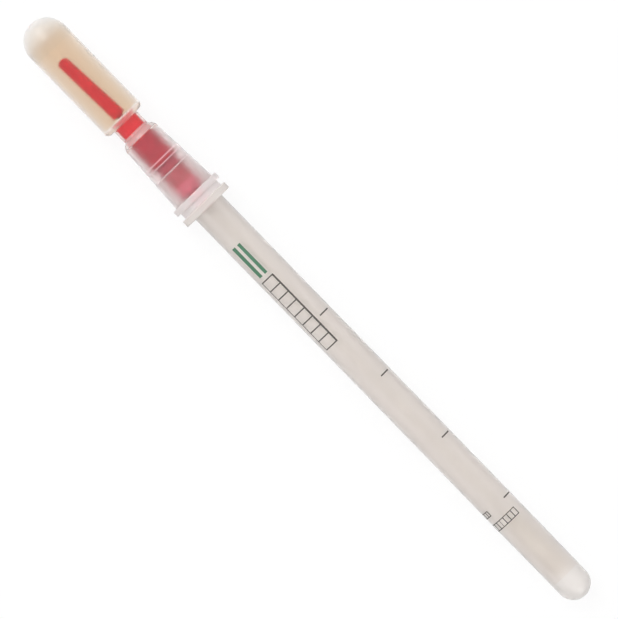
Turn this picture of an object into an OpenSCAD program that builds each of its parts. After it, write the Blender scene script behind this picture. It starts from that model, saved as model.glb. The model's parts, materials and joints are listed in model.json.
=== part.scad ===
// Ready-to-use specimen swab tube: a round-bottomed tube, a liquid-filled squeeze cap,
// a snap valve and a swab. Each turned piece is drawn upright, with z measured from the
// tube's round end, and laid() puts the whole assembly down on its side.

/* [Tube] */
// Outside diameter of the sample tube
tube_od = 8.5; // [8.4:0.05:8.7]
// Wall thickness of the sample tube
tube_wall = 0.85; // [0.75:0.05:0.95]
// Length of the tube from its round end to its mouth
tube_length = 139.6; // [120:0.2:160]
// Length of the tube that goes up inside the cap
spigot_length = 10.5; // [9.5:0.1:11]
// Height of the drafted stretch above the round end
draft_height = 28; // [15:1:40]
// How much narrower the tube's radius is at its round end
draft = 0.1; // [0.05:0.05:0.3]
// Diameter of the stop flanges on the tube and on the cap
flange_d = 13.6; // [13:0.1:15]
// Thickness of the tube's stop flange
tube_flange_h = 1.8; // [1.4:0.1:2.4]

/* [Squeeze cap] */
// Outside diameter of the bulb
bulb_d = 11.3; // [10.8:0.1:12.4]
// Length of the bulb from its base to its tip
bulb_length = 31.9; // [27:0.1:45]
// Wall thickness of the bulb
bulb_wall = 0.8; // [0.6:0.05:1]
// Wall thickness at the bulb's tip
bulb_tip_wall = 2; // [1:0.1:2.6]
// Thickness of the bulb's floor
bulb_floor = 1.5; // [1.4:0.1:1.8]
// Radius of the rounding at the bulb's base
bulb_corner = 1.2; // [0.8:0.1:1.4]
// Outside diameter of the bending neck
neck_d = 7.2; // [7:0.1:7.6]
// Length of the bending neck, from the skirt's top to the bulb
neck_length = 3.5; // [3:0.1:6]
// Outside diameter of the skirt at its upper end
skirt_top_d = 9.8; // [9.7:0.1:10]
// Outside diameter of the skirt at its flange
skirt_low_d = 11.4; // [11.2:0.1:12]
// Diameter of the collar below the cap's flange
collar_d = 11.6; // [11:0.1:12.6]
// Height of the collar below the cap's flange
collar_h = 1.5; // [1.4:0.1:2.2]
// Thickness of the cap's flange
cap_flange_h = 1.6; // [0.9:0.1:1.7]

/* [Snap valve] */
// Diameter of the valve's hub inside the skirt
hub_d = 7.7; // [7.6:0.05:7.8]
// Diameter of the plug in the bending neck
neck_plug_d = 5.2; // [4.8:0.1:5.4]
// Diameter of the break-off nib at its base
nib_base_d = 2.6; // [2.2:0.1:2.8]
// Diameter of the break-off nib at its tip
nib_tip_d = 2.2; // [1.6:0.1:2.2]
// Length of the break-off nib above its notch
nib_length = 19; // [12:0.5:21]
// Lean of the nib off the axis
nib_lean = 2; // [0:0.5:3]
// Diameter of the break-off notch
notch_d = 1.2; // [1:0.1:1.4]
// Diameter of the flow bore down the valve
flow_d = 1.2; // [1:0.1:1.4]

/* [Swab] */
// Diameter of the swab's hollow stem
stem_d = 2.5; // [2.2:0.1:2.8]
// Bore of the swab's stem
stem_bore_d = 1.3; // [1:0.1:1.5]
// Diameter of the fibre bud
bud_d = 5; // [4.2:0.1:5.4]
// Length of the fibre bud
bud_length = 17.9; // [12:0.1:20]
// Free height below the bud inside the tube
bud_clearance = 7.1; // [5:0.1:10]

/* [Hidden] */
$fn = 96;

// Fits: running clearance across the pull, seat of the collar on the tube's flange
running = 0.05;
seat = 0.05;
// Overlap that joins stacked profiles, and roundings of small edges
join = 0.2;
edge = 0.3;
bead_edge = 0.15;
far = 300;

// Sample tube
tube_r = tube_od / 2;
bore_r = tube_r - tube_wall;
dome_r = tube_r - draft;
dome_bore_r = dome_r - tube_wall;
flange_r = flange_d / 2;
tube_flange_top = tube_length - spigot_length;
tube_flange_low = tube_flange_top - tube_flange_h;
mouth_lead = 0.25;

// Squeeze cap, from its collar up to the bulb's tip
collar_low = tube_flange_top + seat;
cap_flange_low = collar_low + collar_h;
cap_flange_top = cap_flange_low + cap_flange_h;
spigot_socket_top = tube_length + running;
band_low = spigot_socket_top + 2.55;
band_h = 1.1;
band_proud = 0.08;
skirt_step = 0.08;
skirt_top = band_low + band_h + 6.2;
shoulder_r = 2.4;
neck_low = skirt_top + shoulder_r;
neck_top = neck_low + neck_length;
neck_r = neck_d / 2;
bulb_r = bulb_d / 2;
bulb_bore_r = bulb_r - bulb_wall;
bulb_low = neck_top;
bulb_tip = bulb_low + bulb_length;
bulb_dome_centre = bulb_tip - bulb_r;
bulb_floor_top = bulb_low + bulb_floor;
bulb_inner_corner = 0.6;
bulb_bore_centre = bulb_tip - bulb_tip_wall - bulb_bore_r;
skirt_top_r = skirt_top_d / 2;
skirt_low_r = skirt_low_d / 2;

// Snap valve, from its stem socket up to the nib's notch
hub_r = hub_d / 2;
hub_low = band_low;
hub_top = skirt_top + 0.3;
bead_proud = 0.12;
waist_r = 2.7;
lower_plug_r = bore_r - running;
lower_plug_low = tube_length - 7;
lower_plug_top = tube_length;
socket_r = 2.05;
socket_low = lower_plug_low - 3.6;
socket_depth = 6;
neck_plug_r = neck_plug_d / 2;
neck_plug_top = bulb_low + 1.2;
notch_root = neck_plug_top - 0.4;
nib_low = bulb_floor_top + 0.4;
nib_shoulder = 0.25;
// Fine end of the flow bore, which the nib closes until it snaps at the notch
flow_end_d = 0.5;
flow_end_low = notch_root - 0.5;
flow_end_top = nib_low + 0.2;

// Swab
stem_r = stem_d / 2;
stem_top = socket_low + socket_depth;
bud_low = bud_clearance;
bud_top = bud_low + bud_length;
bud_r = bud_d / 2;
bud_neck_r = stem_r + 0.45;
bud_shoulder = 3;
stem_low = bud_low + 1.5;

// Rest: the round end and the tube's flange touch the surface
reach = tube_flange_low + edge - dome_r;
drop = flange_r - edge;
lie = atan2(drop, reach) + asin((edge - dome_r) / norm([drop, reach]));
round_end_x = dome_r - dome_r * cos(lie);
bulb_end_x = -bulb_dome_centre * cos(lie) - bulb_r;
middle_x = (round_end_x + bulb_end_x) / 2;
rest_z = dome_r - dome_r * sin(lie);

// Lays an upright piece down: its z runs towards -X and climbs by the angle of rest
module laid() {
    translate([-middle_x, 0, rest_z])
        rotate([0, lie - 90, 0])
            children();
}

// Keeps the half of a profile that rotate_extrude turns
module half(low, high) {
    intersection() {
        children();
        translate([0, low]) square([far, high - low]);
    }
}

// Band of the given radius with round outer edges, as a profile
module band(r, low, high, round_r) {
    translate([0, low]) square([r - round_r, high - low]);
    translate([0, low + round_r]) square([r, high - low - 2 * round_r]);
    for (z = [low + round_r, high - round_r])
        translate([r - round_r, z]) circle(round_r);
}

// Straight or conical stretch of a profile
module stretch(r_low, low, r_high, high) {
    polygon([[0, low], [r_low, low], [r_high, high], [0, high]]);
}

// Outside of the sample tube
module tube_outline() {
    translate([0, dome_r]) circle(dome_r);
    stretch(dome_r, dome_r, tube_r, draft_height);
    stretch(tube_r, draft_height, tube_r, tube_length - mouth_lead);
    stretch(tube_r, tube_length - mouth_lead, tube_r - mouth_lead, tube_length);
    band(flange_r, tube_flange_low, tube_flange_top, edge);
}

// Inside of the sample tube
module tube_hollow() {
    translate([0, dome_r]) circle(dome_bore_r);
    stretch(dome_bore_r, dome_r, bore_r, draft_height);
    stretch(bore_r, draft_height, bore_r, tube_length + join);
}

module sample_tube() {
    color([0.87, 0.84, 0.8, 0.55])
        laid()
            rotate_extrude()
                difference() {
                    half(0, far) tube_outline();
                    half(0, far) tube_hollow();
                }
}

// Outside of the bulb: a cylinder with a round tip and a rounded base
module bulb_outline() {
    translate([0, bulb_dome_centre]) circle(bulb_r);
    translate([0, bulb_low + bulb_corner])
        square([bulb_r, bulb_dome_centre - bulb_low - bulb_corner]);
    translate([bulb_r - bulb_corner, bulb_low + bulb_corner]) circle(bulb_corner);
    translate([0, bulb_low]) square([bulb_r - bulb_corner, bulb_corner]);
}

// Outside of the cap below the bulb: neck, rounded shoulder, tapered skirt with its
// ring band and its step, flange and collar
module skirt_outline() {
    stretch(neck_r, skirt_top, neck_r, bulb_low + join);
    translate([skirt_top_r - shoulder_r, skirt_top]) circle(shoulder_r);
    stretch(skirt_r(spigot_socket_top), spigot_socket_top, skirt_top_r, skirt_top);
    stretch(skirt_low_r, cap_flange_low,
            skirt_r(spigot_socket_top) + skirt_step, spigot_socket_top);
    stretch(skirt_r(band_low) + band_proud, band_low,
            skirt_r(band_low + band_h) + band_proud, band_low + band_h);
    band(flange_r, cap_flange_low, cap_flange_top, edge);
    stretch(collar_d / 2, collar_low, collar_d / 2, cap_flange_low + join);
}

// Radius of the tapered skirt at a height
function skirt_r(z) =
    skirt_low_r
    + (skirt_top_r - skirt_low_r) * (z - cap_flange_top) / (skirt_top - cap_flange_top);

// Hollow of the bulb, which the liquid fills
module bulb_hollow() {
    translate([0, bulb_bore_centre]) circle(bulb_bore_r);
    translate([0, bulb_floor_top + bulb_inner_corner])
        square([bulb_bore_r, bulb_bore_centre - bulb_floor_top - bulb_inner_corner]);
    translate([bulb_bore_r - bulb_inner_corner, bulb_floor_top + bulb_inner_corner])
        circle(bulb_inner_corner);
    translate([0, bulb_floor_top])
        square([bulb_bore_r - bulb_inner_corner, bulb_inner_corner]);
    stretch(neck_plug_r, neck_plug_top, neck_plug_r, bulb_floor_top + join);
}

// Stepped bore for the valve and the tube's spigot
module valve_bore() {
    stretch(neck_plug_r, hub_top - join, neck_plug_r, neck_plug_top + join);
    stretch(hub_r, spigot_socket_top - join, hub_r, hub_top);
    stretch(hub_r + bead_proud, band_low, hub_r + bead_proud, band_low + band_h);
    stretch(tube_r + running, collar_low - join, tube_r + running, spigot_socket_top);
}

module squeeze_cap() {
    color([0.93, 0.89, 0.84, 0.55])
        laid()
            rotate_extrude()
                difference() {
                    half(0, far) {
                        bulb_outline();
                        skirt_outline();
                    }
                    half(0, far) bulb_hollow();
                    half(0, far) valve_bore();
                }
}

// Turned body of the valve: neck plug, hub with its retention bead, waist, lower plug
// and stem socket
module valve_outline() {
    stretch(neck_plug_r, hub_top - join, neck_plug_r, neck_plug_top);
    stretch(hub_r, hub_low, hub_r, hub_top);
    band(hub_r + bead_proud, band_low, band_low + band_h, bead_edge);
    stretch(waist_r, lower_plug_top - join, waist_r, hub_low + join);
    stretch(lower_plug_r - mouth_lead, lower_plug_low,
            lower_plug_r, lower_plug_low + mouth_lead);
    stretch(lower_plug_r, lower_plug_low + mouth_lead, lower_plug_r, lower_plug_top);
    stretch(socket_r, socket_low, socket_r, lower_plug_low + join);
}

// Bores of the valve: stem socket, flow bore and its fine end
module valve_bores() {
    translate([0, 0, socket_low - join]) cylinder(h = socket_depth + join, r = stem_r);
    translate([0, 0, socket_low]) cylinder(h = flow_end_low - socket_low, d = flow_d);
    translate([0, 0, flow_end_low - join])
        cylinder(h = flow_end_top - flow_end_low + join, d = flow_end_d);
}

// Break-off nib: a notch, a shoulder and a long taper with a round tip
module nib() {
    above = nib_low - notch_root;
    taper_top = above + nib_length - nib_tip_d / 2;
    translate([0, 0, notch_root])
        rotate([nib_lean, 0, 0])
            rotate_extrude()
                half(0, far) {
                    stretch(notch_d / 2, 0, notch_d / 2, above);
                    stretch(notch_d / 2, above, nib_base_d / 2, above + nib_shoulder);
                    stretch(nib_base_d / 2, above + nib_shoulder,
                            nib_tip_d / 2, taper_top);
                    translate([0, taper_top]) circle(nib_tip_d / 2);
                }
}

module snap_valve() {
    color([0.8, 0.16, 0.2])
        laid()
            difference() {
                union() {
                    rotate_extrude() half(0, far) valve_outline();
                    nib();
                }
                valve_bores();
            }
}

module swab_stem() {
    color([0.95, 0.94, 0.92])
        laid()
            translate([0, 0, stem_low])
                difference() {
                    cylinder(h = stem_top - stem_low, r = stem_r);
                    translate([0, 0, -join])
                        cylinder(h = stem_top - stem_low + 2 * join, d = stem_bore_d);
                }
}

// Fibre wound on the stem: round at its lower end, tapering to the stem above
module swab_bud() {
    color([0.97, 0.96, 0.93])
        laid()
            difference() {
                rotate_extrude()
                    half(0, far) {
                        translate([0, bud_low + bud_r]) circle(bud_r);
                        stretch(bud_r, bud_low + bud_r, bud_r, bud_top - bud_shoulder);
                        stretch(bud_r, bud_top - bud_shoulder, bud_neck_r, bud_top);
                    }
                translate([0, 0, stem_low]) cylinder(h = bud_length, r = stem_r);
            }
}

// Liquid sealed in the bulb, round the nib
module broth() {
    color([0.86, 0.7, 0.5, 0.5])
        laid()
            difference() {
                rotate_extrude() half(0, far) bulb_hollow();
                nib();
            }
}

sample_tube();
squeeze_cap();
snap_valve();
swab_stem();
swab_bud();
broth();
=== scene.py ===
"""Finishes the specimen swab tube: frosted plastics, red valve, fibre bud, broth and print.

Each turned piece is modelled upright, in millimetres above the tube's round end, and is then
laid on the line of the swab's pull, where the frame has it.
"""

import json
import math

import bpy
from mathutils import Matrix, Vector


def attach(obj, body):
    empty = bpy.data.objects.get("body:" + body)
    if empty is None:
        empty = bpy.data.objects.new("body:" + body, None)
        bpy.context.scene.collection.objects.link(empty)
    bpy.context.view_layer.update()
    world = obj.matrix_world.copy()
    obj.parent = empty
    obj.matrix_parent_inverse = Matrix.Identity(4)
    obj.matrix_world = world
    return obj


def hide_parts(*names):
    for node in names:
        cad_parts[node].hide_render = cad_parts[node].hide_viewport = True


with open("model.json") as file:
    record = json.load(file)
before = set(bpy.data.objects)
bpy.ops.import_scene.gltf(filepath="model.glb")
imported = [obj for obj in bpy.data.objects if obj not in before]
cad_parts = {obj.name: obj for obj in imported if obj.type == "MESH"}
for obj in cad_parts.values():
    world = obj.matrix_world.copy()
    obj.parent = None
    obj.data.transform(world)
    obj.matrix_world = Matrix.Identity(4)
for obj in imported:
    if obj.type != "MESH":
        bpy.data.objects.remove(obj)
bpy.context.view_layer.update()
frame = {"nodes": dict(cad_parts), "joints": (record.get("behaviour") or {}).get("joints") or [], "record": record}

MM = 0.001

# ---------------------------------------------------------------- the frame's own sizes

BARREL = frame["record"]["mounts"][0]
PULL = frame["joints"][0]
AXIS = Vector(PULL["axis"]).normalized()
ON_AXIS = Vector(BARREL["pos_m"])


def heights(node):
    """How far each vertex of a CAD node lies along the pull, in metres from ON_AXIS."""
    return [(v.co - ON_AXIS).dot(AXIS) for v in frame["nodes"][node].data.vertices]


ROUND_END = ON_AXIS + AXIS * min(heights("sample_tube"))


def span(node):
    """Lowest and highest place of a CAD node above the tube's round end, in mm."""
    away = (ON_AXIS - ROUND_END).length
    return [(away + end) / MM for end in (min(heights(node)), max(heights(node)))]


def widest(node):
    """Largest radius of a CAD node about the pull, in mm."""
    return max(
        (v.co - ON_AXIS).cross(AXIS).length for v in frame["nodes"][node].data.vertices
    ) / MM


TUBE_R = BARREL["dims"]["r_mm"]
TUBE_HIGH = span("sample_tube")[1]
FLANGE_R = widest("sample_tube")
CAP_LOW, CAP_HIGH = span("squeeze_cap")
VALVE_LOW = span("snap_valve")[0]
STEM_LOW, STEM_HIGH = span("swab_stem")
STEM_R = widest("swab_stem")
BUD_LOW, BUD_HIGH = span("swab_bud")
BUD_R = widest("swab_bud")
BROTH_LOW, BROTH_HIGH = span("broth")
BROTH_R = widest("broth")

# Sizes that the frame's boxes do not give, in mm, as the part's own source has them
TUBE_WALL = 0.85
DRAFT = 0.1
DRAFT_TOP = 28
MOUTH_LEAD = 0.25
EDGE = 0.3
TUBE_FLANGE_H = 1.8
TUBE_FLANGE_TOP = 129.1
TUBE_FLANGE_LOW = TUBE_FLANGE_TOP - TUBE_FLANGE_H

COLLAR_H = 1.5
COLLAR_R = 5.8
CAP_FLANGE_H = 1.6
CAP_FLANGE_LOW = CAP_LOW + COLLAR_H
CAP_FLANGE_TOP = CAP_FLANGE_LOW + CAP_FLANGE_H
SOCKET_R = 4.3
SOCKET_TOP = 139.65
SKIRT_TOP = 149.5
SKIRT_TOP_R = 4.9
SKIRT_LOW_R = 5.7
SKIRT_STEP = 0.08
SHOULDER_R = 2.4
BAND_H = 1.1
BAND_LOW = 142.2
BAND_HIGH = BAND_LOW + BAND_H
BAND_PROUD = 0.08
NECK_R = 3.6
BULB_R = 5.65
BULB_LOW = 155.4
BULB_CORNER = 1.2
BULB_FLOOR = 1.5
BULB_FLOOR_TOP = BULB_LOW + BULB_FLOOR
BULB_INNER_CORNER = 0.6
BROTH_DOME = BROTH_HIGH - BROTH_R

HUB_R = 3.85
HUB_TOP = 149.8
BEAD_PROUD = 0.12
BEAD_EDGE = 0.15
WAIST_R = 2.7
RUNNING = 0.05
LOWER_PLUG_LOW = 132.6
VALVE_SOCKET_R = 2.05
VALVE_SOCKET_DEPTH = 6
NECK_PLUG_R = 2.6
NECK_PLUG_TOP = 156.6
NOTCH_R = 0.6
NIB_LOW = 157.3
NIB_SHOULDER = 0.25
NIB_LENGTH = 19
NIB_BASE_R = 1.3
NIB_TIP_R = 1.1
FLOW_R = 0.6
FLOW_END_R = 0.25
FLOW_END_LOW = NECK_PLUG_TOP - 0.9
FLOW_END_TOP = NIB_LOW + 0.2

STEM_BORE_R = 0.65
BUD_SHOULDER = 3
BUD_NECK_GAP = 0.45

# Lean of the nib off the axis, in degrees
NIB_LEAN = 2

# Sizes of the finish alone, in mm
# Height up to which the tube's round end is painted paler, as a highlight at its tip
ROUND_END_HIGHLIGHT_TOP = 6.9
# Band of the cap's shoulder that is painted paler as a highlight
SHOULDER_HIGHLIGHT_LOW = 150.2
SHOULDER_HIGHLIGHT_HIGH = 152.2
# Height below which the lower plug's red is painted paler, as light veiling it
PLUG_PAINTED_LIGHT_BELOW = 135.6
RING_SLOPE = 0.07
FIT_GAP = 0.02
BUD_WINDING = 0.7
BUD_RIDGE = 0.05
BUD_RING_GAP = 0.07
BUD_FLUFF = 0.16
BUD_FLUFF_SIZE = 1.28
# Places nearer to each other than this are taken as one
HAIR = 0.001

# Rings of the bud's profile to one turn of its winding
BUD_RINGS = 5

# Sides of the turned pieces
SIDES = 128
STEM_SIDES = 64
BUD_SIDES = 96

# Heights in mm from which the bulb's wall is milkier and paler, step by step towards its tip,
# partly for its thicker wall there and partly as a painted highlight, and the share of light
# that it still lets through
MILKY_HIGHLIGHT_STEPS = ((179.2, 0.97), (180.3, 0.94), (181.1, 0.9), (181.7, 0.86), (182.2, 0.81),
               (182.7, 0.77), (183.1, 0.73), (183.5, 0.7), (183.9, 0.68), (184.3, 0.66))

# Places of the print on the barrel: along it in mm, and round it in degrees from the top. A
# mark has its middle along and round, and a field or a row its two ends along, then round.
PRINT_PROUD = 0.015
PRINT_SUNK = 0.02
MARKS = ((90.9, 34.9), (70.7, 38.8), (50.4, 41.7), (30.1, 50.2))
MARK_THICK = 0.34
MARK_TURN = 40
FIELD = (83.8, 105.8, -57.4, -0.8)
FIELD_CELLS = 8
FIELD_LINE = 0.3
COLOUR_CODE = (106.9, 116.3, -44, -8)
DATE_ROW = (25.0, 27.1, -84, 32.6)
DATE_CELLS = 7
BATCH_ROW = (29.0, 30.6, -84, -41.5)
BATCH_CELLS = 3
ROW_LINE = 0.2

# ---------------------------------------------------------------- modelling


def deselect():
    """Leaves edit mode and selects nothing, since an operator acts on all that is selected."""
    if bpy.context.object and bpy.context.object.mode != "OBJECT":
        bpy.ops.object.mode_set(mode="OBJECT")
    bpy.ops.object.select_all(action="DESELECT")


def activate(piece):
    """Makes one piece the only selected and the active one."""
    deselect()
    piece.select_set(True)
    bpy.context.view_layer.objects.active = piece


def arc(centre_r, centre_z, radius, start, end, steps=6):
    """Points (radius, height) round part of a circle in the profile, angles in degrees."""
    angles = [math.radians(start + (end - start) * i / steps) for i in range(steps + 1)]
    return [(centre_r + radius * math.cos(a), centre_z + radius * math.sin(a)) for a in angles]


def rounded_band(radius, low, high, inner):
    """Profile of a flange, from its lower root out and up to its upper root."""
    return (
        [(inner, low)]
        + arc(radius - EDGE, low + EDGE, EDGE, -90, 0)
        + arc(radius - EDGE, high - EDGE, EDGE, 0, 90)
        + [(inner, high)]
    )


def turn(name, profile, sides=SIDES):
    """Turned piece: a circle is extruded and scaled from one ring of the profile to the next.

    A profile that starts or ends on the axis is closed to a pole there, and any other is
    closed ring to ring.
    """
    rings = [(r * MM, z * MM) for r, z in profile if r > HAIR]
    starts_on_axis, ends_on_axis = profile[0][0] <= HAIR, profile[-1][0] <= HAIR
    deselect()
    bpy.ops.mesh.primitive_circle_add(
        vertices=sides,
        radius=rings[0][0],
        fill_type="TRIFAN" if starts_on_axis else "NOTHING",
        location=(0, 0, 0),
    )
    piece = bpy.context.object
    piece.name = piece.data.name = name
    for vertex in piece.data.vertices:
        on_axis = vertex.co.xy.length < rings[0][0] / 2
        vertex.co.z = profile[0][1] * MM if on_axis else rings[0][1]
    bpy.ops.object.mode_set(mode="EDIT")
    bpy.ops.mesh.select_all(action="SELECT")
    if starts_on_axis:
        bpy.ops.mesh.region_to_loop()
    for (r0, z0), (r1, z1) in zip(rings, rings[1:]):
        bpy.ops.mesh.extrude_region_move(TRANSFORM_OT_translate={"value": (0, 0, z1 - z0)})
        bpy.ops.transform.resize(value=(r1 / r0, r1 / r0, 1), center_override=(0, 0, z1))
    if ends_on_axis:
        rise = profile[-1][1] * MM - rings[-1][1]
        bpy.ops.mesh.extrude_region_move(TRANSFORM_OT_translate={"value": (0, 0, rise)})
        bpy.ops.mesh.merge(type="CENTER")
    bpy.ops.mesh.select_all(action="SELECT")
    bpy.ops.mesh.remove_doubles(threshold=HAIR * MM)
    bpy.ops.mesh.normals_make_consistent(inside=False)
    bpy.ops.object.mode_set(mode="OBJECT")
    return piece


def shade(piece, angle=35):
    """Smooth shading, apart from edges sharper than the angle."""
    activate(piece)
    bpy.ops.object.shade_smooth_by_angle(angle=math.radians(angle))


ACROSS = Vector((0, 1, 0))
UP = ACROSS.cross(AXIS)
LAID = Matrix.Translation(ROUND_END) @ Matrix((UP, ACROSS, AXIS)).transposed().to_4x4()


def lay(piece):
    """Lays an upright piece on the line of the pull; its +X side then faces up."""
    activate(piece)
    piece.matrix_world = LAID
    bpy.ops.object.transform_apply(location=True, rotation=True, scale=True)


def dress(piece, body, slot, *materials, replaces=None):
    """Gives a piece its materials and body and hides the node it stands for; its slot is not used."""
    for material in materials:
        piece.data.materials.append(material)
    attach(piece, body)
    if replaces:
        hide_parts(replaces)


def assign(piece, zones, material, chosen):
    """Gives one of the materials in the list zones to the faces of an upright piece that are
    chosen by their middle's radius and height, in mm."""
    index = zones.index(material)
    for face in piece.data.polygons:
        radius, height = face.center.xy.length / MM, face.center.z / MM
        if chosen(radius, height):
            face.material_index = index


# ---------------------------------------------------------------- materials


# Detail of the two noises, and the stretch of the clouds' noise that goes from pale to deep
CLOUD_DETAIL = 3
GRAIN_DETAIL = 2
CLOUD_SPREAD = (0.3, 0.7)
# Roughness of the thin gloss, and the slant at which a rim's tint starts
COAT_ROUGH = 0.3
RIM_START = 0.3


def frosting_group():
    """Cloudiness of moulded plastic: slow drifts of colour and gloss, and a fine grain."""
    group = bpy.data.node_groups.new("frosting", "ShaderNodeTree")
    for name, direction, kind in (
        ("Pale", "INPUT", "Color"),
        ("Deep", "INPUT", "Color"),
        ("Smooth", "INPUT", "Float"),
        ("Rough", "INPUT", "Float"),
        ("Cloud Scale", "INPUT", "Float"),
        ("Grain Scale", "INPUT", "Float"),
        ("Color", "OUTPUT", "Color"),
        ("Roughness", "OUTPUT", "Float"),
        ("Height", "OUTPUT", "Float"),
    ):
        group.interface.new_socket(
            name=name, in_out=direction, socket_type="NodeSocket" + kind)
    nodes, links = group.nodes, group.links
    inputs, outputs = nodes.new("NodeGroupInput"), nodes.new("NodeGroupOutput")
    place = nodes.new("ShaderNodeTexCoord")
    cloud, grain = nodes.new("ShaderNodeTexNoise"), nodes.new("ShaderNodeTexNoise")
    cloud.inputs["Detail"].default_value = CLOUD_DETAIL
    grain.inputs["Detail"].default_value = GRAIN_DETAIL
    for noise, scale in ((cloud, "Cloud Scale"), (grain, "Grain Scale")):
        links.new(place.outputs["Object"], noise.inputs["Vector"])
        links.new(inputs.outputs[scale], noise.inputs["Scale"])
    spread = nodes.new("ShaderNodeMapRange")
    spread.inputs["From Min"].default_value = CLOUD_SPREAD[0]
    spread.inputs["From Max"].default_value = CLOUD_SPREAD[1]
    links.new(cloud.outputs["Fac"], spread.inputs["Value"])
    tint = nodes.new("ShaderNodeMix")
    tint.data_type = "RGBA"
    links.new(spread.outputs["Result"], tint.inputs["Factor"])
    links.new(inputs.outputs["Pale"], tint.inputs["A"])
    links.new(inputs.outputs["Deep"], tint.inputs["B"])
    gloss = nodes.new("ShaderNodeMapRange")
    links.new(grain.outputs["Fac"], gloss.inputs["Value"])
    links.new(inputs.outputs["Smooth"], gloss.inputs["To Min"])
    links.new(inputs.outputs["Rough"], gloss.inputs["To Max"])
    links.new(tint.outputs["Result"], outputs.inputs["Color"])
    links.new(gloss.outputs["Result"], outputs.inputs["Roughness"])
    links.new(grain.outputs["Fac"], outputs.inputs["Height"])
    return group


FROSTING = frosting_group()


def tinted_at_slant(nodes, links, colour, rim):
    """Node output that turns from a colour to the rim's tint where a surface is seen at a
    slant."""
    slant, slanted = nodes.new("ShaderNodeLayerWeight"), nodes.new("ShaderNodeMapRange")
    slanted.inputs["From Min"].default_value = RIM_START
    slanted.interpolation_type = "SMOOTHSTEP"
    tint = nodes.new("ShaderNodeMix")
    tint.data_type = "RGBA"
    tint.inputs["B"].default_value = (*rim, 1)
    links.new(slant.outputs["Facing"], slanted.inputs["Value"])
    links.new(slanted.outputs["Result"], tint.inputs["Factor"])
    links.new(colour, tint.inputs["A"])
    return tint.outputs["Result"]


def plastic(name, pale, deep, smooth, rough, clear=0.0, ior=1.5, clouds=200, grain=3000,
            relief=0.004, specular=0.5, sheen=0.0, coat=0.0, rim=None, amber=None):
    """Moulded plastic whose colour drifts from pale to deep, and its roughness from smooth to
    rough.

    Clear is the share of light that it lets through, and relief the depth of the grain in mm.
    Clouds and grain are scales of noise. Coat is a thin gloss over the grain. Rim is the tint of
    clear plastic seen through at a slant: darker for the longer way through the wall, and where it
    is lighter, a painted sheen. Amber is the colour and density of what fills a body of liquid.
    """
    material = bpy.data.materials.new(name)
    material.use_nodes = True
    nodes, links = material.node_tree.nodes, material.node_tree.links
    shader = nodes["Principled BSDF"]
    frosting = nodes.new("ShaderNodeGroup")
    frosting.node_tree = FROSTING
    values = {"Pale": (*pale, 1), "Deep": (*deep, 1), "Smooth": smooth, "Rough": rough,
              "Cloud Scale": clouds, "Grain Scale": grain}
    for key, value in values.items():
        frosting.inputs[key].default_value = value
    bump = nodes.new("ShaderNodeBump")
    bump.inputs["Distance"].default_value = relief * MM
    bump.inputs["Strength"].default_value = 1
    links.new(frosting.outputs["Height"], bump.inputs["Height"])
    colour = frosting.outputs["Color"]
    if rim:
        colour = tinted_at_slant(nodes, links, colour, rim)
    links.new(colour, shader.inputs["Base Color"])
    links.new(frosting.outputs["Roughness"], shader.inputs["Roughness"])
    links.new(bump.outputs["Normal"], shader.inputs["Normal"])
    shader.inputs["Transmission Weight"].default_value = clear
    shader.inputs["IOR"].default_value = ior
    shader.inputs["Specular IOR Level"].default_value = specular
    shader.inputs["Sheen Weight"].default_value = sheen
    shader.inputs["Coat Weight"].default_value = coat
    shader.inputs["Coat Roughness"].default_value = COAT_ROUGH
    if amber:
        filling, density = amber
        absorption = nodes.new("ShaderNodeVolumeAbsorption")
        absorption.inputs["Color"].default_value = (*filling, 1)
        absorption.inputs["Density"].default_value = density
        links.new(absorption.outputs["Volume"], nodes["Material Output"].inputs["Volume"])
    return material


# ---------------------------------------------------------------- pieces


def skirt_r(height):
    """Radius of the cap's tapered skirt at a height."""
    share = (height - CAP_FLANGE_TOP) / (SKIRT_TOP - CAP_FLANGE_TOP)
    return SKIRT_LOW_R + (SKIRT_TOP_R - SKIRT_LOW_R) * share


def make_tube(barrel, flange, seat, mouth, inner, round_end):
    """Sample tube: round end, drafted barrel, stop flange, and the spigot above it."""
    zones = [barrel, flange, seat, mouth, inner, round_end]
    dome_r, bore_r = TUBE_R - DRAFT, TUBE_R - TUBE_WALL
    end_r = dome_r + DRAFT * (ROUND_END_HIGHLIGHT_TOP - dome_r) / (DRAFT_TOP - dome_r)
    outside = (
        arc(0, dome_r, dome_r, -90, 0, steps=16)
        + [(end_r, ROUND_END_HIGHLIGHT_TOP), (TUBE_R, DRAFT_TOP)]
        + rounded_band(FLANGE_R, TUBE_FLANGE_LOW, TUBE_FLANGE_TOP, TUBE_R)
        + [(TUBE_R, TUBE_HIGH - MOUTH_LEAD), (TUBE_R - MOUTH_LEAD, TUBE_HIGH)]
    )
    inside = (
        [(bore_r, TUBE_HIGH), (bore_r, DRAFT_TOP)]
        + arc(0, dome_r, dome_r - TUBE_WALL, 0, -90, steps=14)
    )
    tube = turn("sample_tube_body", outside + inside)

    def in_tube_bore(radius, height):
        return math.hypot(radius, min(0, height - dome_r)) < bore_r + TUBE_WALL / 2

    assign(tube, zones, flange, lambda r, z: z > TUBE_FLANGE_LOW)
    assign(tube, zones, seat, lambda r, z: z > TUBE_FLANGE_TOP)
    assign(tube, zones, mouth, lambda r, z: z > TUBE_HIGH - MOUTH_LEAD)
    assign(tube, zones, inner, lambda r, z: z < TUBE_FLANGE_TOP and in_tube_bore(r, z))
    # Paler plastic on the round end: a painted highlight
    assign(tube, zones, round_end, lambda r, z: z < ROUND_END_HIGHLIGHT_TOP and not in_tube_bore(r, z))
    shade(tube)
    lay(tube)
    dress(tube, "tube", "tube_plastic", *zones, replaces="sample_tube")


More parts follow.
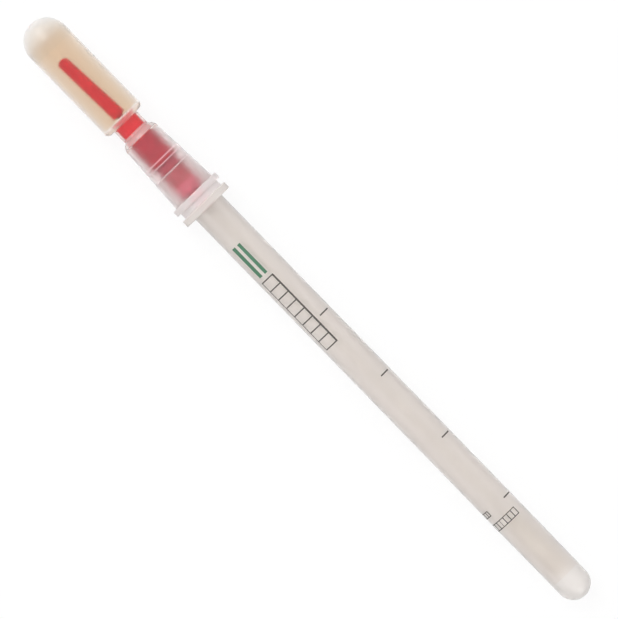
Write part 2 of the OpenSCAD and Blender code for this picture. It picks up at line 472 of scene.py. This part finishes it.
def cap_outside():
    """Profile of the cap from the bulb's tip down to its lower face."""
    shoulder_centre_r = SKIRT_TOP_R - SHOULDER_R
    shoulder_start = math.degrees(math.acos((NECK_R - shoulder_centre_r) / SHOULDER_R))
    return (
        arc(0, CAP_HIGH - BULB_R, BULB_R, 90, 0, steps=20)
        + [(BULB_R, low) for low, _ in reversed(MILKY_HIGHLIGHT_STEPS) if low < CAP_HIGH - BULB_R]
        + arc(BULB_R - BULB_CORNER, BULB_LOW + BULB_CORNER, BULB_CORNER, 0, -90, steps=8)
        + arc(NECK_R + EDGE, BULB_LOW - EDGE, EDGE, 90, 180, steps=4)
        + [(NECK_R, SHOULDER_HIGHLIGHT_HIGH)]
        + arc(shoulder_centre_r, SKIRT_TOP, SHOULDER_R, shoulder_start, 0, steps=12)
        + [
            (skirt_r(BAND_HIGH), BAND_HIGH + RING_SLOPE),
            (skirt_r(BAND_HIGH) + BAND_PROUD, BAND_HIGH - RING_SLOPE),
            (skirt_r(BAND_LOW) + BAND_PROUD, BAND_LOW + RING_SLOPE),
            (skirt_r(BAND_LOW), BAND_LOW - RING_SLOPE),
            (skirt_r(SOCKET_TOP), SOCKET_TOP + RING_SLOPE / 2),
            (skirt_r(SOCKET_TOP) + SKIRT_STEP, SOCKET_TOP - RING_SLOPE / 2),
        ]
        + rounded_band(FLANGE_R, CAP_FLANGE_LOW, CAP_FLANGE_TOP, COLLAR_R)[::-1][:-1]
        + [(COLLAR_R, CAP_FLANGE_LOW), (COLLAR_R, CAP_LOW)]
    )


def cap_inside():
    """Profile of the cap's stepped bore and of its bulb's cavity, from the lower face up."""
    return (
        [(SOCKET_R, CAP_LOW), (SOCKET_R, SOCKET_TOP), (HUB_R, SOCKET_TOP)]
        + [(HUB_R, BAND_LOW), (HUB_R + BEAD_PROUD, BAND_LOW)]
        + [(HUB_R + BEAD_PROUD, BAND_HIGH), (HUB_R, BAND_HIGH)]
        + [(HUB_R, HUB_TOP), (NECK_PLUG_R, HUB_TOP), (NECK_PLUG_R, NECK_PLUG_TOP)]
        + [(NECK_PLUG_R, BULB_FLOOR_TOP)]
        + arc(BROTH_R - BULB_INNER_CORNER, BULB_FLOOR_TOP + BULB_INNER_CORNER,
              BULB_INNER_CORNER, -90, 0)
        + arc(0, BROTH_DOME, BROTH_R, 0, 90, steps=18)
    )


def make_cap(skirt, bore, neck, corner, bulb, wetted, line, shoulder, flange, collar, socket,
             floor_edge_highlight, milky):
    """Squeeze cap: bulb, bending neck, rounded shoulder, tapered skirt, flange and collar."""
    zones = [skirt, bore, neck, corner, bulb, wetted, line, shoulder, flange, collar, socket,
             floor_edge_highlight, *milky]
    cap = turn("squeeze_cap_body", cap_outside() + cap_inside())
    plug_wall_r, socket_wall_r = NECK_PLUG_R + EDGE, SOCKET_R + EDGE

    def in_bore(radius, height):
        return radius < HUB_R + BEAD_PROUD or (radius < socket_wall_r and height < SOCKET_TOP)

    def on_ring_highlight(radius, height):
        """Slopes at both edges of the skirt's ring and at its step, which are painted pale as highlight lines."""
        places = (BAND_LOW, BAND_HIGH, SOCKET_TOP)
        return radius > SOCKET_R and min(abs(height - place) for place in places) < HAIR

    def on_floor_edge(radius, height):
        """Wall between the neck plug's top and the bulb's floor, painted pale as a highlight line."""
        return NECK_PLUG_TOP < height < BULB_FLOOR_TOP and radius < plug_wall_r

    def round_broth(radius, height):
        """Faces of the cavity that the broth touches."""
        if height < BULB_FLOOR_TOP + EDGE and radius < plug_wall_r:
            return height > NECK_PLUG_TOP
        in_cavity = math.hypot(radius, max(0, height - BROTH_DOME)) < BROTH_R + EDGE
        return BULB_FLOOR_TOP - MOUTH_LEAD < height < BROTH_HIGH + EDGE and in_cavity

    assign(cap, zones, bore, in_bore)
    assign(cap, zones, socket, lambda r, z: z < BAND_LOW and in_bore(r, z))
    assign(cap, zones, neck, lambda r, z: z > SKIRT_TOP and r > plug_wall_r)
    assign(cap, zones, wetted, lambda r, z: z > HUB_TOP and r < plug_wall_r)
    # The shoulder's band gets a paler, less clear plastic: a painted highlight
    assign(cap, zones, shoulder,
           lambda r, z: SHOULDER_HIGHLIGHT_LOW < z < SHOULDER_HIGHLIGHT_HIGH and r > NECK_R - EDGE)
    assign(cap, zones, flange, lambda r, z: z < CAP_FLANGE_TOP + EDGE and r > socket_wall_r)
    # The collar between the flanges gets a whiter, less clear copy of the plastic: painted light over the shade
    # there
    assign(cap, zones, collar, lambda r, z: z < CAP_FLANGE_LOW and r > socket_wall_r)
    assign(cap, zones, corner, lambda r, z: z > BULB_LOW - EDGE and r > plug_wall_r)
    assign(cap, zones, bulb, lambda r, z: z > BULB_LOW + BULB_CORNER)
    for material, (low, _) in zip(milky, MILKY_HIGHLIGHT_STEPS):
        assign(cap, zones, material, lambda r, z: z > low)
    assign(cap, zones, wetted, round_broth)
    assign(cap, zones, line, on_ring_highlight)
    assign(cap, zones, floor_edge_highlight, on_floor_edge)
    shade(cap)
    lay(cap)
    dress(cap, "swab", "cap_plastic", *zones, replaces="squeeze_cap")


def valve_profile():
    """Profile of the valve: up its bores, up its outside and up its nib."""
    hub_r, neck_r = HUB_R - FIT_GAP, NECK_PLUG_R - FIT_GAP
    hub_top = HUB_TOP - FIT_GAP
    bead_r = hub_r + BEAD_PROUD - BEAD_EDGE
    plug_r = TUBE_R - TUBE_WALL - RUNNING
    stem_seat = VALVE_LOW + VALVE_SOCKET_DEPTH
    tip_centre = NIB_LOW + NIB_LENGTH - NIB_TIP_R
    bores = [
        (0, FLOW_END_TOP), (FLOW_END_R, FLOW_END_TOP), (FLOW_END_R, FLOW_END_LOW),
        (FLOW_R, FLOW_END_LOW), (FLOW_R, stem_seat), (STEM_R, stem_seat), (STEM_R, VALVE_LOW),
    ]
    outside = (
        [(VALVE_SOCKET_R, VALVE_LOW), (VALVE_SOCKET_R, LOWER_PLUG_LOW)]
        + [(plug_r - MOUTH_LEAD, LOWER_PLUG_LOW), (plug_r, LOWER_PLUG_LOW + MOUTH_LEAD)]
        + [(plug_r, PLUG_PAINTED_LIGHT_BELOW), (plug_r, TUBE_HIGH)]
        + [(WAIST_R, TUBE_HIGH), (WAIST_R, BAND_LOW)]
        + arc(bead_r, BAND_LOW + BEAD_EDGE, BEAD_EDGE, -90, 0, steps=4)
        + arc(bead_r, BAND_HIGH - BEAD_EDGE, BEAD_EDGE, 0, 90, steps=4)[:-1]
        + [(hub_r, BAND_HIGH), (hub_r, hub_top), (neck_r, hub_top)]
        + [(neck_r, NECK_PLUG_TOP), (NOTCH_R, NECK_PLUG_TOP)]
    )
    nib = (
        [(NOTCH_R, NIB_LOW), (NIB_BASE_R, NIB_LOW + NIB_SHOULDER)]
        + arc(0, tip_centre, NIB_TIP_R, 0, 90, steps=8)
    )
    return bores + outside + nib


def make_valve(loose, seated, wet, end, waist):
    """Snap valve: stem socket, lower plug, waist, hub with its bead, neck plug and nib."""
    zones = [loose, seated, wet, end, waist]
    valve = turn("snap_valve_body", valve_profile())
    # The waist gets a darker, duller copy of the valve's red: painted shade under a painted veil
    assign(valve, zones, waist, lambda r, z: z > TUBE_HIGH - HAIR)
    # The hub gets a darker copy of the valve's red: painted shade
    assign(valve, zones, seated, lambda r, z: z > BAND_LOW + HAIR)
    assign(valve, zones, wet, lambda r, z: z > HUB_TOP)
    # The lower plug's end gets a paler pink copy of the red: painted light
    assign(valve, zones, end, lambda r, z: z < PLUG_PAINTED_LIGHT_BELOW)
    lean_nib(valve)
    shade(valve)
    lay(valve)
    dress(valve, "swab", "valve_plastic", *zones, replaces="snap_valve")


def lean_nib(valve):
    """Turns the nib a little about the notch, towards -Y, and leaves the flow bore upright."""
    activate(valve)
    bpy.ops.object.mode_set(mode="EDIT")
    bpy.ops.mesh.select_all(action="DESELECT")
    bpy.ops.object.mode_set(mode="OBJECT")
    clear_of_bore = (FLOW_END_R + NOTCH_R) / 2
    for vertex in valve.data.vertices:
        radius, height = vertex.co.xy.length / MM, vertex.co.z / MM
        on_foot = height > NIB_LOW - EDGE and radius > clear_of_bore
        vertex.select = on_foot or height > NIB_LOW + NIB_SHOULDER
    bpy.ops.object.mode_set(mode="EDIT")
    bpy.ops.mesh.select_mode(type="VERT")
    bpy.ops.transform.rotate(
        value=-math.radians(NIB_LEAN),
        orient_axis="X",
        center_override=(0, 0, NECK_PLUG_TOP * MM),
    )
    bpy.ops.object.mode_set(mode="OBJECT")


def make_stem(white):
    """Hollow stem, closed ring to ring."""
    profile = [
        (STEM_R, STEM_LOW), (STEM_R, STEM_HIGH), (STEM_BORE_R, STEM_HIGH),
        (STEM_BORE_R, STEM_LOW), (STEM_R, STEM_LOW),
    ]
    stem = turn("swab_stem_tube", profile, sides=STEM_SIDES)
    shade(stem)
    lay(stem)
    dress(stem, "swab", "stem_plastic", white, replaces="swab_stem")


def make_bud(fibre):
    """Wound fibre: a ridge for each turn of the winding, then unevenly fluffed."""

    def wound(height):
        """Radius of the winding at a height."""
        base = BUD_LOW + BUD_R
        if height < base:
            envelope = math.sqrt(max(0, BUD_R ** 2 - (base - height) ** 2))
        else:
            shoulder = (BUD_HIGH - height) / BUD_SHOULDER
            narrow = STEM_R + BUD_NECK_GAP
            envelope = narrow + (BUD_R - narrow) * math.sqrt(min(1, shoulder))
        ridge = BUD_RIDGE * (1 - math.cos(math.tau * (height - BUD_LOW) / BUD_WINDING))
        return envelope - ridge

    length = BUD_HIGH - BUD_LOW
    count = round(length / BUD_WINDING * BUD_RINGS)
    places = [BUD_LOW + length * (i / count) for i in range(count + 1)]
    tip = arc(0, BUD_LOW + BUD_R, BUD_R, -90, -60, steps=5)
    side = [(wound(place), place) for place in places if place > tip[-1][1] + BUD_RING_GAP]
    hollow = [(STEM_R, BUD_HIGH), (STEM_R, STEM_LOW), (0, STEM_LOW)]
    bud = turn("swab_bud_fibre", tip + side + hollow, sides=BUD_SIDES)
    fluff = bpy.data.textures.new("bud_fluff", "CLOUDS")
    fluff.noise_scale = BUD_FLUFF_SIZE * MM
    activate(bud)
    bulge = bud.modifiers.new("fluff", "DISPLACE")
    bulge.texture = fluff
    bulge.strength = -BUD_FLUFF * MM
    bulge.mid_level = 0
    bpy.ops.object.modifier_apply(modifier=bulge.name)
    shade(bud, angle=60)
    lay(bud)
    dress(bud, "swab", "bud_fibre", fibre, replaces="swab_bud")


def make_broth(amber):
    """Liquid of the bulb, just clear of its wall."""
    low, floor = BROTH_LOW + FIT_GAP, BULB_FLOOR_TOP + FIT_GAP
    neck_r, broth_r = NECK_PLUG_R - FIT_GAP, BROTH_R - FIT_GAP
    profile = (
        [(0, low), (neck_r, low), (neck_r, floor)]
        + arc(broth_r - BULB_INNER_CORNER, floor + BULB_INNER_CORNER,
              BULB_INNER_CORNER, -90, 0)
        + arc(0, BROTH_DOME, broth_r, 0, 90, steps=18)
    )
    broth = turn("broth_fill", profile)
    shade(broth)
    lay(broth)
    dress(broth, "swab", "broth", amber, replaces="broth")


def patch(low, high, start, end):
    """Bare curved patch: a band round the barrel, cut off by two planes through the axis."""
    deselect()
    bpy.ops.mesh.primitive_cylinder_add(
        vertices=SIDES,
        radius=(TUBE_R - PRINT_SUNK) * MM,
        depth=(high - low) * MM,
        end_fill_type="NOTHING",
        location=(0, 0, (low + high) / 2 * MM),
    )
    piece = bpy.context.object
    bpy.ops.object.transform_apply(location=True)
    bpy.ops.object.mode_set(mode="EDIT")
    for angle, side in ((math.radians(start), 1), (math.radians(end), -1)):
        bpy.ops.mesh.select_all(action="SELECT")
        bpy.ops.mesh.bisect(
            plane_co=(0, 0, 0),
            plane_no=(-side * math.sin(angle), side * math.cos(angle), 0),
            clear_inner=True,
        )
    bpy.ops.object.mode_set(mode="OBJECT")
    return piece


def print_on(name, slot, places, ink):
    """One thin print on the barrel, from the places of all its patches."""
    patches = [patch(*place) for place in places]
    activate(patches[0])
    for piece in patches[1:]:
        piece.select_set(True)
    if len(patches) > 1:
        bpy.ops.object.join()
    print_piece = bpy.context.object
    print_piece.name = print_piece.data.name = name
    thickness = print_piece.modifiers.new("thickness", "SOLIDIFY")
    thickness.thickness = (PRINT_SUNK + PRINT_PROUD) * MM
    thickness.offset = 1
    bpy.ops.object.modifier_apply(modifier=thickness.name)
    shade(print_piece)
    lay(print_piece)
    dress(print_piece, "tube", slot, ink)


def cells(row, count, line, along):
    """Patches that outline a row of empty cells, along the barrel or round it: two rails, and
    the bars between them."""
    low, high, start, end = row
    narrow = math.degrees(line / TUBE_R)
    if along:
        step = (high - low - line) / count
        rails = [(low, high, start, start + narrow), (low, high, end - narrow, end)]
        bars = [(low + i * step, low + i * step + line, start + narrow, end - narrow)
                for i in range(count + 1)]
    else:
        step = (end - start - narrow) / count
        rails = [(low, low + line, start, end), (high - line, high, start, end)]
        bars = [(low + line, high - line, start + i * step, start + i * step + narrow)
                for i in range(count + 1)]
    return rails + bars


def make_print(black, green):
    """Print on the barrel: volume marks, rows of empty cells, and two bars of colour."""
    marks = [(place - MARK_THICK / 2, place + MARK_THICK / 2,
              middle - MARK_TURN / 2, middle + MARK_TURN / 2) for place, middle in MARKS]
    print_on("volume_marks", "black_print", marks, black)
    for name, row, count, line, along in (
        ("name_field", FIELD, FIELD_CELLS, FIELD_LINE, True),
        ("date_boxes", DATE_ROW, DATE_CELLS, ROW_LINE, False),
        ("batch_boxes", BATCH_ROW, BATCH_CELLS, ROW_LINE, False),
    ):
        print_on(name, "black_print", cells(row, count, line, along), black)
    low, high, start, end = COLOUR_CODE
    third = (end - start) / 3
    bars = [(low, high, start, start + third), (low, high, end - third, end)]
    print_on("colour_code", "green_print", bars, green)


# ---------------------------------------------------------------- the whole part

make_tube(
    # Its rim is lighter at a slant: a painted sheen
    barrel=plastic(
        "tube_polypropylene", (0.89, 0.825, 0.78), (0.86, 0.795, 0.75), 0.5, 0.62,
        clear=0.9, ior=1.45, sheen=0.3, coat=0.3, rim=(1, 0.98, 0.96)),
    flange=plastic(
        "tube_flange", (0.90, 0.84, 0.80), (0.87, 0.81, 0.77), 0.35, 0.5,
        clear=0.55, ior=1.45),
    seat=plastic(
        "tube_seat", (0.99, 0.97, 0.96), (0.97, 0.95, 0.94), 0.3, 0.4,
        clear=0.93, ior=1.2, sheen=0.2, relief=0.001),
    mouth=plastic(
        "tube_mouth_edge", (0.88, 0.82, 0.81), (0.85, 0.79, 0.78), 0.4, 0.5,
        clear=0.3, ior=1.45),
    inner=plastic(
        "tube_inner_side", (0.99, 0.98, 0.97), (0.97, 0.96, 0.95), 0.3, 0.4,
        clear=1, ior=1.45, relief=0.001),
    # Paler copy of the barrel's plastic on the round end: a painted highlight
    round_end=plastic(
        "tube_round_end_highlight", (0.95, 0.91, 0.88), (0.92, 0.88, 0.85), 0.5, 0.62,
        clear=0.9, ior=1.45, sheen=0.3, coat=0.3),
)
make_cap(
    # Its rim is lighter at a slant: a painted sheen
    skirt=plastic(
        "skirt_polyethylene", (0.98, 0.90, 0.88), (0.95, 0.87, 0.85), 0.48, 0.58,
        clear=0.99, ior=1.33, sheen=0.7, rim=(1, 0.99, 0.98)),
    bore=plastic(
        "bore_polyethylene", (0.99, 0.84, 0.85), (0.97, 0.80, 0.81), 0.35, 0.45,
        clear=1, ior=1.33, relief=0.001),
    neck=plastic(
        "neck_polyethylene", (0.99, 0.89, 0.85), (0.97, 0.87, 0.83), 0.3, 0.4,
        clear=0.94, ior=1.2, rim=(0.84, 0.68, 0.63), relief=0.001),
    corner=plastic(
        "bulb_corner", (0.92, 0.81, 0.76), (0.90, 0.78, 0.73), 0.3, 0.4,
        clear=0.85, ior=1.33),
    bulb=plastic(
        "bulb_polyethylene", (0.98, 0.96, 0.94), (0.96, 0.94, 0.92), 0.3, 0.36,
        clear=1, ior=1.33, sheen=0.8, coat=0.4, rim=(0.92, 0.90, 0.89), relief=0.001),
    wetted=plastic(
        "wetted_polyethylene", (1, 1, 1), (0.99, 0.99, 0.99), 0.05, 0.1,
        clear=1, ior=1),
    # Paler, less clear plastic on the ring's edges and step: painted highlight lines
    line=plastic(
        "ring_edge_highlight", (0.98, 0.86, 0.86), (0.95, 0.82, 0.82), 0.3, 0.4,
        clear=0.3),
    # Paler, less clear band on the shoulder: a painted highlight, over the real gloss of its low roughness
    shoulder=plastic(
        "shoulder_painted_highlight", (0.93, 0.90, 0.87), (0.90, 0.87, 0.84), 0.15, 0.25,
        clear=0.66, ior=1.45, relief=0.001),
    flange=plastic(
        "flange_polyethylene", (0.98, 0.925, 0.91), (0.95, 0.895, 0.88), 0.3, 0.4,
        clear=0.51, ior=1.45),
    # Whiter, less clear copy of the cap's plastic on the collar: painted light over the shade between the flanges
    collar=plastic(
        "collar_painted_light", (1, 0.945, 0.935), (0.98, 0.925, 0.915), 0.4, 0.5,
        clear=0.3, ior=1.45),
    socket=plastic(
        "socket_polyethylene", (1, 0.90, 0.91), (0.98, 0.87, 0.88), 0.5, 0.6,
        clear=1, ior=1.15, relief=0.001),
    # Opaque pale plastic on the wall under the bulb's floor: a painted highlight line
    floor_edge_highlight=plastic("floor_edge_highlight", (1, 0.94, 0.93), (0.98, 0.92, 0.91), 0.3, 0.4),
    # Milkier, paler steps towards the bulb's tip: the thicker wall there, and a painted highlight
    milky=[
        plastic(
            f"bulb_milky_highlight_{step}", (0.92, 0.92, 0.91), (0.90, 0.90, 0.89), 0.3, 0.36,
            clear=clear, ior=1.33, sheen=0.5, coat=0.35, relief=0.001)
        for step, (_, clear) in enumerate(MILKY_HIGHLIGHT_STEPS)
    ],
)
make_valve(
    loose=plastic(
        "valve_red_loose", (0.70, 0.03, 0.075), (0.65, 0.026, 0.065), 0.3, 0.45,
        specular=0.3),
    # Darker copy of the valve's red on the hub: painted shade
    seated=plastic(
        "valve_red_seated_painted_shade", (0.49, 0.02, 0.05), (0.45, 0.015, 0.04), 0.3, 0.45,
        specular=0.1),
    wet=plastic(
        "valve_red_wet", (0.86, 0.012, 0.028), (0.81, 0.01, 0.023), 0.3, 0.45,
        specular=0.05),
    # Paler pink copy of the valve's red at the lower plug's end: painted light
    end=plastic(
        "valve_red_end_painted_light", (0.93, 0.15, 0.25), (0.88, 0.14, 0.23), 0.3, 0.45,
        specular=0.3),
    # Darker, duller copy of the valve's red in the waist: painted shade under a painted veil
    waist=plastic(
        "valve_red_waist_painted_shade", (0.51, 0.105, 0.14), (0.47, 0.095, 0.125), 0.3, 0.45,
        specular=0.1),
)
make_stem(plastic("stem_white", (0.86, 0.85, 0.83), (0.83, 0.82, 0.80), 0.35, 0.5))
make_bud(plastic(
    "bud_white", (0.90, 0.88, 0.84), (0.82, 0.80, 0.76), 0.8, 0.95,
    relief=0.05, sheen=0.2))
make_broth(plastic(
    "broth_amber", (1, 1, 1), (0.99, 0.99, 0.99), 0.02, 0.06,
    clear=1, ior=1, amber=((0.70, 0.40, 0.03), 108)))
make_print(
    black=plastic("black_ink", (0.05, 0.045, 0.04), (0.08, 0.07, 0.065), 0.4, 0.6),
    green=plastic("green_ink", (0.04, 0.15, 0.08), (0.07, 0.19, 0.11), 0.4, 0.6),
)

# ---------------------------------------------------------------- setting

# Floor's size in metres, its paper, and how much of its white is a glow of its own
FLOOR_SIZE = 6
FLOOR_COLOUR = (0.93, 0.93, 0.93, 1)
FLOOR_ROUGH = 0.9
FLOOR_GLOW = 0.88
# Strength of the white surroundings as a light, where 1 is how they look
WORLD_LIGHT = 0.8


def larger(nodes, links, first, second):
    """Node output that holds the larger of two values."""
    node = nodes.new("ShaderNodeMath")
    node.operation = "MAXIMUM"
    links.new(first, node.inputs[0])
    links.new(second, node.inputs[1])
    return node.outputs[0]


def floor_material():
    """White paper that keeps the shadow: lit, partly glowing where it is looked at, and
    plain white through the clear plastics."""
    material = bpy.data.materials.new("studio_floor")
    material.use_nodes = True
    nodes, links = material.node_tree.nodes, material.node_tree.links
    paper = nodes["Principled BSDF"]
    paper.inputs["Base Color"].default_value = FLOOR_COLOUR
    paper.inputs["Roughness"].default_value = FLOOR_ROUGH
    paper.inputs["Specular IOR Level"].default_value = 0
    rays, glow = nodes.new("ShaderNodeLightPath"), nodes.new("ShaderNodeEmission")
    seen = larger(nodes, links, rays.outputs["Is Camera Ray"], rays.outputs["Is Glossy Ray"])
    share = nodes.new("ShaderNodeMath")
    share.operation = "MULTIPLY"
    share.inputs[1].default_value = FLOOR_GLOW
    links.new(seen, share.inputs[0])
    white = larger(nodes, links, share.outputs[0], rays.outputs["Is Transmission Ray"])
    mix = nodes.new("ShaderNodeMixShader")
    links.new(white, mix.inputs["Fac"])
    links.new(paper.outputs["BSDF"], mix.inputs[1])
    links.new(glow.outputs["Emission"], mix.inputs[2])
    links.new(mix.outputs["Shader"], nodes["Material Output"].inputs["Surface"])
    return material


def make_floor():
    """Floor that the part lies on, wide enough to fill the view."""
    deselect()
    bpy.ops.mesh.primitive_plane_add(size=FLOOR_SIZE, location=(0, 0, 0))
    floor = bpy.context.object
    floor.name = "studio_floor"
    floor.data.materials.append(floor_material())


# Name, place and size in metres, and power in watts
SOFTBOXES = (
    ("bulb_side_softbox", (-0.55, 0, 0.28), 0.3, 1.0),
    ("overhead_softbox", (-0.35, 0, 0.65), 0.35, 1.3),
    ("round_end_softbox", (0.6, 0.03, 0.2), 0.2, 0.9),
)


def make_light(name, place, size, power):
    """Square softbox that looks at the middle of the part."""
    data = bpy.data.lights.new(name, "AREA")
    data.size = size
    data.energy = power
    light = bpy.data.objects.new(name, data)
    light.location = place
    light.rotation_euler = (-Vector(place)).to_track_quat("-Z", "Y").to_euler()
    bpy.context.scene.collection.objects.link(light)


def make_world():
    """White where it is seen, in gloss or through clear plastic too, and weaker as a light."""
    world = bpy.data.worlds.new("studio")
    world.use_nodes = True
    nodes, links = world.node_tree.nodes, world.node_tree.links
    background = nodes["Background"]
    background.inputs["Color"].default_value = (1, 1, 1, 1)
    rays, strength = nodes.new("ShaderNodeLightPath"), nodes.new("ShaderNodeMapRange")
    strength.inputs["To Min"].default_value = WORLD_LIGHT
    seen = larger(nodes, links, rays.outputs["Is Camera Ray"], rays.outputs["Is Glossy Ray"])
    white = larger(nodes, links, seen, rays.outputs["Is Transmission Ray"])
    links.new(white, strength.inputs["Value"])
    links.new(strength.outputs["Result"], background.inputs["Strength"])
    bpy.context.scene.world = world


# Height and sidestep in metres, turn in degrees, lens and sensor in mm
CAMERA_HEIGHT = 1.8
CAMERA_SIDESTEP = (0.00003, 0.00017)
CAMERA_TURN = 45.83
CAMERA_LENS = 443.6
CAMERA_SENSOR = 36


def make_camera():
    """Looks straight down, turned so that the part lies from corner to corner."""
    data = bpy.data.cameras.new("camera")
    data.sensor_width = CAMERA_SENSOR
    data.lens = CAMERA_LENS
    camera = bpy.data.objects.new("camera", data)
    camera.location = (*CAMERA_SIDESTEP, CAMERA_HEIGHT)
    camera.rotation_euler = (0, 0, math.radians(CAMERA_TURN))
    bpy.context.scene.collection.objects.link(camera)
    bpy.context.scene.camera = camera


make_floor()
make_world()
for name, place, size, power in SOFTBOXES:
    make_light(name, place, size, power)
make_camera()
bpy.context.scene.view_settings.view_transform = "Standard"
